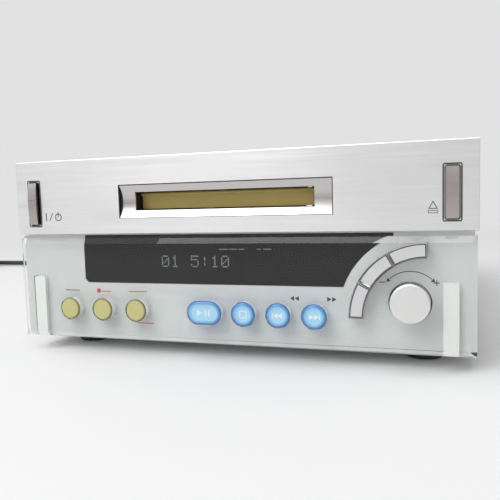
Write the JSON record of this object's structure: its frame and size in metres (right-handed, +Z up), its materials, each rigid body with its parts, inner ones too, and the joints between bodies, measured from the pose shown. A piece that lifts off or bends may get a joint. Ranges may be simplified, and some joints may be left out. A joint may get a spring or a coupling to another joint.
{
  "type": "minidisc deck",
  "caption": "Compact slot-loading minidisc deck with a brushed fascia, a thick clear acrylic lower front, round keys, a jog knob and a loading mechanism",
  "frame": {"origin": "middle of the footprint, on the surface the feet stand on, without the cord", "axes": "+X to the right seen from the front, +Y from the front to the back, +Z up"},
  "size_m": [0.5301, 0.3473, 0.0833],
  "materials": {
    "aged_plastic": "aged off-white",
    "black_plastic": "moulded",
    "blade_brass": "nickel-plated brass",
    "blue_plastic": "clear blue",
    "board": "solder-masked laminate",
    "brushed_aluminium": "horizontal brush lines",
    "clear_acrylic": "clear polished acrylic with a faint green tint",
    "cord_rubber": "semi-matt jacket",
    "core_steel": "varnished laminations",
    "cover_steel": "fine-textured silver grey paint",
    "foot_rubber": "moulded",
    "heatsink_aluminium": "plain extrusion",
    "olive_plastic": "semi-gloss olive",
    "satin_aluminium": "satin",
    "silver_panel": "silver paint, fine metallic grain",
    "silver_plastic": "silver paint",
    "smoked_acrylic": "glossy black smoked acrylic",
    "steel": "plain",
    "tube_glass": "dark display glass",
    "white_plastic": "moulded",
    "winding_tape": "yellow film tape",
    "zinc_steel": "zinc plated"
  },
  "bodies": {
    "deck": {"acrylic_front": "clear_acrylic", "bottom_chassis": "zinc_steel", "cord_coil": "cord_rubber", "cord_strain_relief": "cord_rubber", "cord_tie": "white_plastic", "cover_screws": "steel", "display_tube": "tube_glass", "display_window": "smoked_acrylic", "feet": "foot_rubber", "filter_capacitors": "black_plastic", "front_circuit_board": "board", "guide_rods": "steel", "heatsink": "heatsink_aluminium", "left_post": "white_plastic", "loading_motor": "steel", "lower_panel": "silver_panel", "main_circuit_board": "board", "mains_cord": "cord_rubber", "mechanism_chassis": "zinc_steel", "mechanism_legs": "zinc_steel", "optical_sockets": "black_plastic", "phono_jacks": "black_plastic", "plug_blades": "blade_brass", "plug_body": "cord_rubber", "rear_panel": "cover_steel", "right_post": "white_plastic", "rotary_encoder": "steel", "side_switches": "board", "signal_chips": "black_plastic", "sled_motor": "steel", "slot_bezel": "satin_aluminium", "spindle_motor": "steel", "tact_switches": "black_plastic", "top_cover": "cover_steel", "transformer_core": "core_steel", "transformer_winding": "winding_tape", "upper_fascia": "brushed_aluminium"},
    "slot_door": {"slot_door": "olive_plastic"},
    "power_button": {"power_button": "brushed_aluminium"},
    "eject_button": {"eject_button": "brushed_aluminium"},
    "play_pause_key": {"play_pause_key": "blue_plastic"},
    "stop_key": {"stop_key": "blue_plastic"},
    "rewind_key": {"rewind_key": "blue_plastic"},
    "forward_key": {"forward_key": "blue_plastic"},
    "sync_key": {"sync_key": "aged_plastic"},
    "record_key": {"record_key": "aged_plastic"},
    "display_key": {"display_key": "aged_plastic"},
    "clear_key": {"clear_key": "silver_plastic"},
    "enter_key": {"enter_key": "silver_plastic"},
    "menu_key": {"menu_key": "silver_plastic"},
    "jog_knob": {"jog_knob": "satin_aluminium", "encoder_shaft": "steel"},
    "optical_pickup": {"optical_pickup": "black_plastic"},
    "sled_gear": {"sled_gear": "white_plastic"},
    "turntable": {"turntable": "satin_aluminium"},
    "cartridge_holder": {"cartridge_holder": "zinc_steel"},
    "loading_slide": {"loading_slide": "white_plastic"},
    "loading_gear": {"loading_gear": "white_plastic"},
    "write_head_arm": {"write_head_arm": "steel"}
  },
  "joints": [
    {"name": "slot_door_hinge", "type": "hinge", "parent": "deck", "child": "slot_door", "pos_m": [0, -0.1197, 0.0677], "axis": [1, 0, 0], "range_deg": [0, 80], "stiffness_Nm_per_rad": 0.002, "springref_deg": -11.46},
    {"name": "jog_turn", "type": "hinge", "parent": "deck", "child": "jog_knob", "pos_m": [0.0719, -0.12, 0.0262], "axis": [0, 1, 0], "continuous": true},
    {"name": "slide_travel", "type": "slide", "parent": "deck", "child": "loading_slide", "axis": [0, 1, 0], "range_m": [0, 0.02]},
    {"name": "holder_drop", "type": "slide", "parent": "deck", "child": "cartridge_holder", "axis": [0, 0, -1], "range_m": [0, 0.007]},
    {"name": "loading_gear_turn", "type": "hinge", "parent": "deck", "child": "loading_gear", "pos_m": [-0.035, -0.024, 0.05], "axis": [0, 0, 1], "range_deg": [-204.7, 0]},
    {"name": "head_arm_hinge", "type": "hinge", "parent": "optical_pickup", "child": "write_head_arm", "pos_m": [0.021, -0.0305, 0.0718], "axis": [1, 0, 0], "range_deg": [0, 12.7]},
    {"name": "turntable_spin", "type": "hinge", "parent": "deck", "child": "turntable", "pos_m": [0, -0.07, 0.053], "axis": [0, 0, 1], "continuous": true},
    {"name": "pickup_travel", "type": "slide", "parent": "deck", "child": "optical_pickup", "axis": [1, 0, 0], "range_m": [0, 0.014]},
    {"name": "sled_gear_turn", "type": "hinge", "parent": "deck", "child": "sled_gear", "pos_m": [0.024, -0.0435, 0.0494], "axis": [0, 0, 1], "range_deg": [0, 143.4]},
    {"name": "power_button_press", "type": "slide", "parent": "deck", "child": "power_button", "axis": [0, 1, 0], "range_m": [0, 0.0008], "stiffness_N_per_m": 300},
    {"name": "eject_button_press", "type": "slide", "parent": "deck", "child": "eject_button", "axis": [0, 1, 0], "range_m": [0, 0.0008], "stiffness_N_per_m": 300},
    {"name": "play_pause_key_press", "type": "slide", "parent": "deck", "child": "play_pause_key", "axis": [0, 1, 0], "range_m": [0, 0.0008], "stiffness_N_per_m": 300},
    {"name": "stop_key_press", "type": "slide", "parent": "deck", "child": "stop_key", "axis": [0, 1, 0], "range_m": [0, 0.0008], "stiffness_N_per_m": 300},
    {"name": "rewind_key_press", "type": "slide", "parent": "deck", "child": "rewind_key", "axis": [0, 1, 0], "range_m": [0, 0.0008], "stiffness_N_per_m": 300},
    {"name": "forward_key_press", "type": "slide", "parent": "deck", "child": "forward_key", "axis": [0, 1, 0], "range_m": [0, 0.0008], "stiffness_N_per_m": 300},
    {"name": "sync_key_press", "type": "slide", "parent": "deck", "child": "sync_key", "axis": [0, 1, 0], "range_m": [0, 0.0008], "stiffness_N_per_m": 300},
    {"name": "record_key_press", "type": "slide", "parent": "deck", "child": "record_key", "axis": [0, 1, 0], "range_m": [0, 0.0008], "stiffness_N_per_m": 300},
    {"name": "display_key_press", "type": "slide", "parent": "deck", "child": "display_key", "axis": [0, 1, 0], "range_m": [0, 0.0008], "stiffness_N_per_m": 300},
    {"name": "clear_key_press", "type": "slide", "parent": "deck", "child": "clear_key", "axis": [0, 1, 0], "range_m": [0, 0.0008], "stiffness_N_per_m": 300},
    {"name": "enter_key_press", "type": "slide", "parent": "deck", "child": "enter_key", "axis": [0, 1, 0], "range_m": [0, 0.0008], "stiffness_N_per_m": 300},
    {"name": "menu_key_press", "type": "slide", "parent": "deck", "child": "menu_key", "axis": [0, 1, 0], "range_m": [0, 0.0008], "stiffness_N_per_m": 300}
  ],
  "couplings": [
    {"joint": "holder_drop", "follows": "slide_travel", "ratio": 0.35},
    {"joint": "loading_gear_turn", "follows": "slide_travel", "rad_per_m": -178.57},
    {"joint": "head_arm_hinge", "follows": "slide_travel", "rad_per_m": 11},
    {"joint": "sled_gear_turn", "follows": "pickup_travel", "rad_per_m": 178.57}
  ]
}
